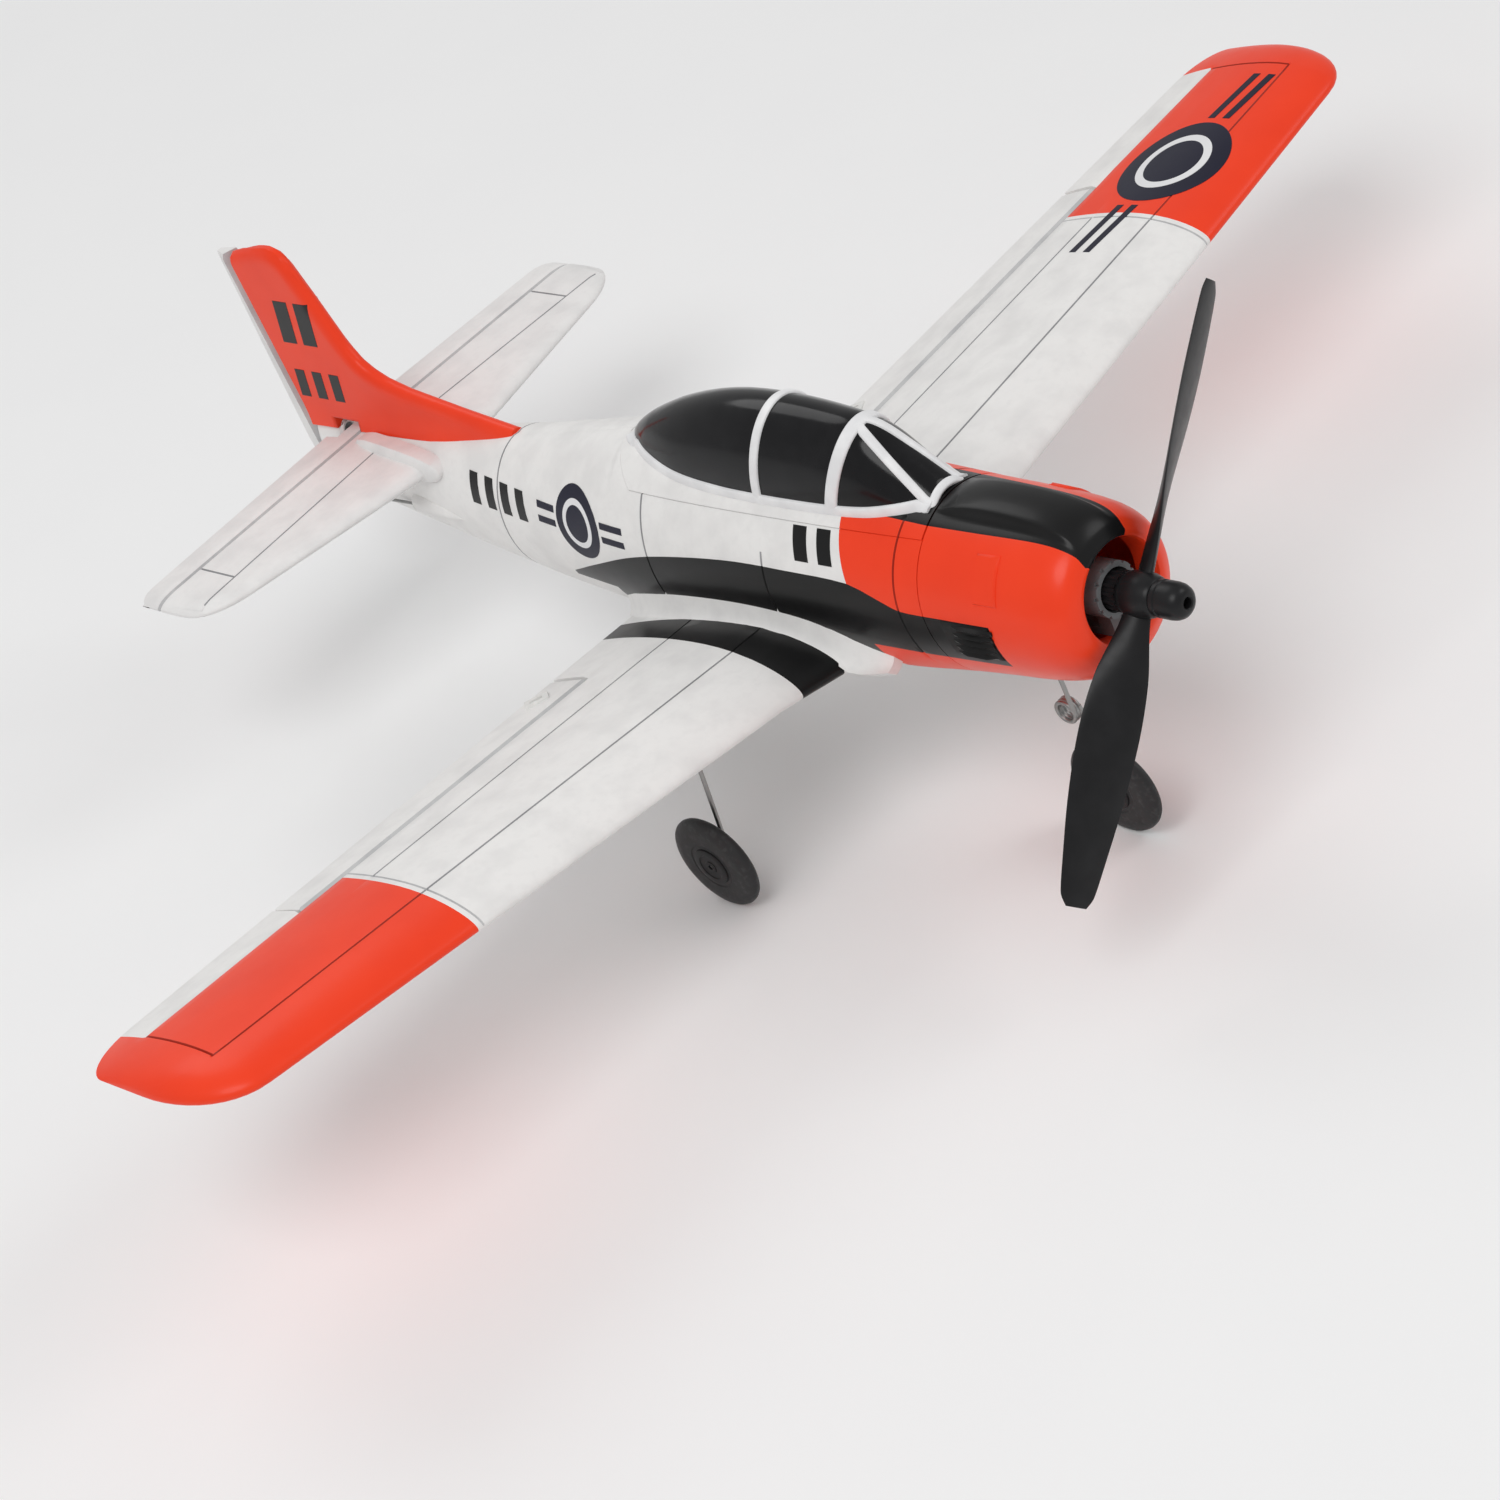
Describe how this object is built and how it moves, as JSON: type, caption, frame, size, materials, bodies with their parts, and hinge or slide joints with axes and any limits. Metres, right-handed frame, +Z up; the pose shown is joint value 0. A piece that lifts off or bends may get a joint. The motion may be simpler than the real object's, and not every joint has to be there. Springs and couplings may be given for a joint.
{
  "type": "rc foam airplane",
  "caption": "Micro foam trainer aeroplane with a geared propeller, hinged control surfaces with wire linkages, lift-off canopy hatch and three wire-leg wheels",
  "frame": {"origin": "bottom centre of the bounding box, on the ground between the wheels", "axes": "+X towards the aeroplane's left wing tip, +Y towards the tail, +Z up; the aeroplane stands nose-up on its three wheels"},
  "size_m": [0.3994, 0.3049, 0.121],
  "materials": {
    "fuselage_foam": "moulded foam, painted",
    "wing_foam": "moulded foam, painted",
    "tail_foam": "moulded foam, painted",
    "cowl_plastic": "glossy painted plastic",
    "carbon": "pultruded carbon rod",
    "plywood": "thin plywood",
    "grey_nylon": "moulded nylon",
    "motor_steel": "drawn steel can",
    "bearing_steel": "ground steel",
    "screw_steel": "blackened steel",
    "battery_pouch": "laminated pouch in shrink sleeve",
    "black_plastic": "moulded plastic",
    "circuit_board": "glass-fibre board with chips",
    "servo_plastic": "moulded servo case",
    "wire_steel": "drawn spring wire",
    "white_nylon": "moulded nylon",
    "magnet_nickel": "nickel-plated disc",
    "propeller_plastic": "moulded nylon, satin",
    "shaft_steel": "ground steel",
    "brass": "machined brass",
    "wheel_black": "dense foam rubber",
    "hub_black": "moulded plastic",
    "white_plastic": "moulded plastic",
    "dark_glazing": "dark polished plastic"
  },
  "bodies": {
    "airframe": {"fuselage_left": "fuselage_foam", "fuselage_right": "fuselage_foam", "nose_cowl": "cowl_plastic", "wing_panel": "wing_foam", "wing_spars": "carbon", "tailplane": "tail_foam", "vertical_fin": "tail_foam", "firewall": "plywood", "gearbox_frame": "grey_nylon", "motor_can": "motor_steel", "shaft_bearings": "bearing_steel", "gearbox_screws": "screw_steel", "battery_pack": "battery_pouch", "battery_tray": "black_plastic", "flight_board": "circuit_board", "elevator_servo": "servo_plastic", "rudder_servo": "servo_plastic", "aileron_servo": "servo_plastic", "main_gear_leg_left": "wire_steel", "main_gear_leg_right": "wire_steel", "nose_gear_leg": "wire_steel", "main_gear_sockets": "white_nylon", "nose_gear_socket": "white_nylon", "axle_collars": "black_plastic", "pushrod_guides": "white_nylon", "hatch_seat_magnets": "magnet_nickel"},
    "propeller": {"propeller": "propeller_plastic", "prop_adapter": "propeller_plastic", "nose_cap": "propeller_plastic", "prop_shaft": "shaft_steel", "spur_gear": "white_nylon"},
    "motor_pinion": {"motor_pinion": "brass"},
    "aileron_left": {"aileron_left": "wing_foam", "aileron_horn_left": "white_nylon"},
    "aileron_right": {"aileron_right": "wing_foam", "aileron_horn_right": "white_nylon"},
    "aileron_slider": {"aileron_slider": "white_nylon"},
    "aileron_pushrod_left": {"aileron_pushrod_left": "wire_steel"},
    "aileron_pushrod_right": {"aileron_pushrod_right": "wire_steel"},
    "elevator": {"elevator": "tail_foam", "elevator_horn": "white_nylon"},
    "elevator_pushrod": {"elevator_pushrod": "wire_steel"},
    "elevator_servo_arm": {"elevator_servo_arm": "white_nylon"},
    "rudder": {"rudder": "tail_foam", "rudder_horn": "white_nylon"},
    "rudder_pushrod": {"rudder_pushrod": "wire_steel"},
    "rudder_servo_arm": {"rudder_servo_arm": "white_nylon"},
    "nose_wheel": {"tyre_nose": "wheel_black", "hub_nose": "hub_black"},
    "main_wheel_left": {"tyre_main_left": "wheel_black", "hub_main_left": "hub_black"},
    "main_wheel_right": {"tyre_main_right": "wheel_black", "hub_main_right": "hub_black"},
    "canopy_hatch": {"hatch_deck": "fuselage_foam", "canopy_frame": "white_plastic", "canopy_panes": "dark_glazing", "hatch_magnets": "magnet_nickel"}
  },
  "joints": [
    {"name": "propeller_spin", "type": "hinge", "parent": "airframe", "child": "propeller", "pos_m": [0, -0.14016, 0.07287], "axis": [0, -0.9968, 0.0794], "continuous": true},
    {"name": "motor_pinion_spin", "type": "hinge", "parent": "airframe", "child": "motor_pinion", "pos_m": [-0.00789, -0.10445, 0.07406], "axis": [0, -0.9968, 0.0794], "continuous": true},
    {"name": "nose_wheel_spin", "type": "hinge", "parent": "airframe", "child": "nose_wheel", "pos_m": [-0.001, -0.11269, 0.0122], "axis": [1, 0, 0], "continuous": true},
    {"name": "main_wheel_left_spin", "type": "hinge", "parent": "airframe", "child": "main_wheel_left", "pos_m": [0.057, -0.03835, 0.0122], "axis": [1, 0, 0], "continuous": true},
    {"name": "main_wheel_right_spin", "type": "hinge", "parent": "airframe", "child": "main_wheel_right", "pos_m": [-0.057, -0.03835, 0.0122], "axis": [1, 0, 0], "continuous": true},
    {"name": "aileron_left_hinge", "type": "hinge", "parent": "airframe", "child": "aileron_left", "pos_m": [0.0473, -0.00387, 0.04942], "axis": [0.9924, -0.0577, 0.1089], "range_deg": [-18, 18]},
    {"name": "aileron_right_hinge", "type": "hinge", "parent": "airframe", "child": "aileron_right", "pos_m": [-0.0473, -0.00387, 0.04942], "axis": [0.9924, 0.0577, -0.1089], "range_deg": [-18, 18]},
    {"name": "aileron_slider_slide", "type": "slide", "parent": "airframe", "child": "aileron_slider", "axis": [1, 0, 0], "range_m": [-0.0024, 0.0024]},
    {"name": "aileron_pushrod_left_swing", "type": "hinge", "parent": "airframe", "child": "aileron_pushrod_left", "pos_m": [0.008, -0.00231, 0.04696], "axis": [0, -0.3615, 0.9324], "range_deg": [-4.58, 4.58]},
    {"name": "aileron_pushrod_right_swing", "type": "hinge", "parent": "airframe", "child": "aileron_pushrod_right", "pos_m": [-0.008, -0.00231, 0.04696], "axis": [0, -0.3615, 0.9324], "range_deg": [-4.58, 4.58]},
    {"name": "elevator_hinge", "type": "hinge", "parent": "airframe", "child": "elevator", "pos_m": [0, 0.12034, 0.05494], "axis": [1, 0, 0], "range_deg": [-18, 18]},
    {"name": "elevator_pushrod_slide", "type": "slide", "parent": "airframe", "child": "elevator_pushrod", "axis": [0, 0.9968, -0.0794], "range_m": [-0.00352, 0.00352]},
    {"name": "elevator_servo_arm_turn", "type": "hinge", "parent": "airframe", "child": "elevator_servo_arm", "pos_m": [-0.0015, -0.01545, 0.05793], "axis": [0, 0.0794, 0.9968], "range_deg": [-25.25, 25.25]},
    {"name": "rudder_hinge", "type": "hinge", "parent": "airframe", "child": "rudder", "pos_m": [0.0022, 0.14363, 0.07034], "axis": [0, 0.0794, 0.9968], "range_deg": [-20, 20]},
    {"name": "rudder_pushrod_slide", "type": "slide", "parent": "airframe", "child": "rudder_pushrod", "axis": [0, 0.9968, -0.0794], "range_m": [-0.0026, 0.0026]},
    {"name": "rudder_servo_arm_turn", "type": "hinge", "parent": "airframe", "child": "rudder_servo_arm", "pos_m": [0.0015, 0.00568, 0.05624], "axis": [0, 0.0794, 0.9968], "range_deg": [-18.61, 18.61]},
    {"name": "canopy_hatch_lift", "type": "slide", "parent": "airframe", "child": "canopy_hatch", "axis": [0, 0.0794, 0.9968], "range_m": [0, 0.03]}
  ],
  "couplings": [
    {"joint": "motor_pinion_spin", "follows": "propeller_spin", "ratio": -5.5556},
    {"joint": "aileron_right_hinge", "follows": "aileron_left_hinge", "ratio": -1},
    {"joint": "aileron_slider_slide", "follows": "aileron_left_hinge", "m_per_rad": 0.0074779},
    {"joint": "aileron_pushrod_left_swing", "follows": "aileron_left_hinge", "ratio": 0.2497},
    {"joint": "aileron_pushrod_right_swing", "follows": "aileron_left_hinge", "ratio": 0.2497},
    {"joint": "elevator_pushrod_slide", "follows": "elevator_hinge", "m_per_rad": 0.011},
    {"joint": "elevator_servo_arm_turn", "follows": "elevator_hinge", "ratio": -1.375},
    {"joint": "rudder_pushrod_slide", "follows": "rudder_hinge", "m_per_rad": 0.0073},
    {"joint": "rudder_servo_arm_turn", "follows": "rudder_hinge", "ratio": 0.9125}
  ]
}
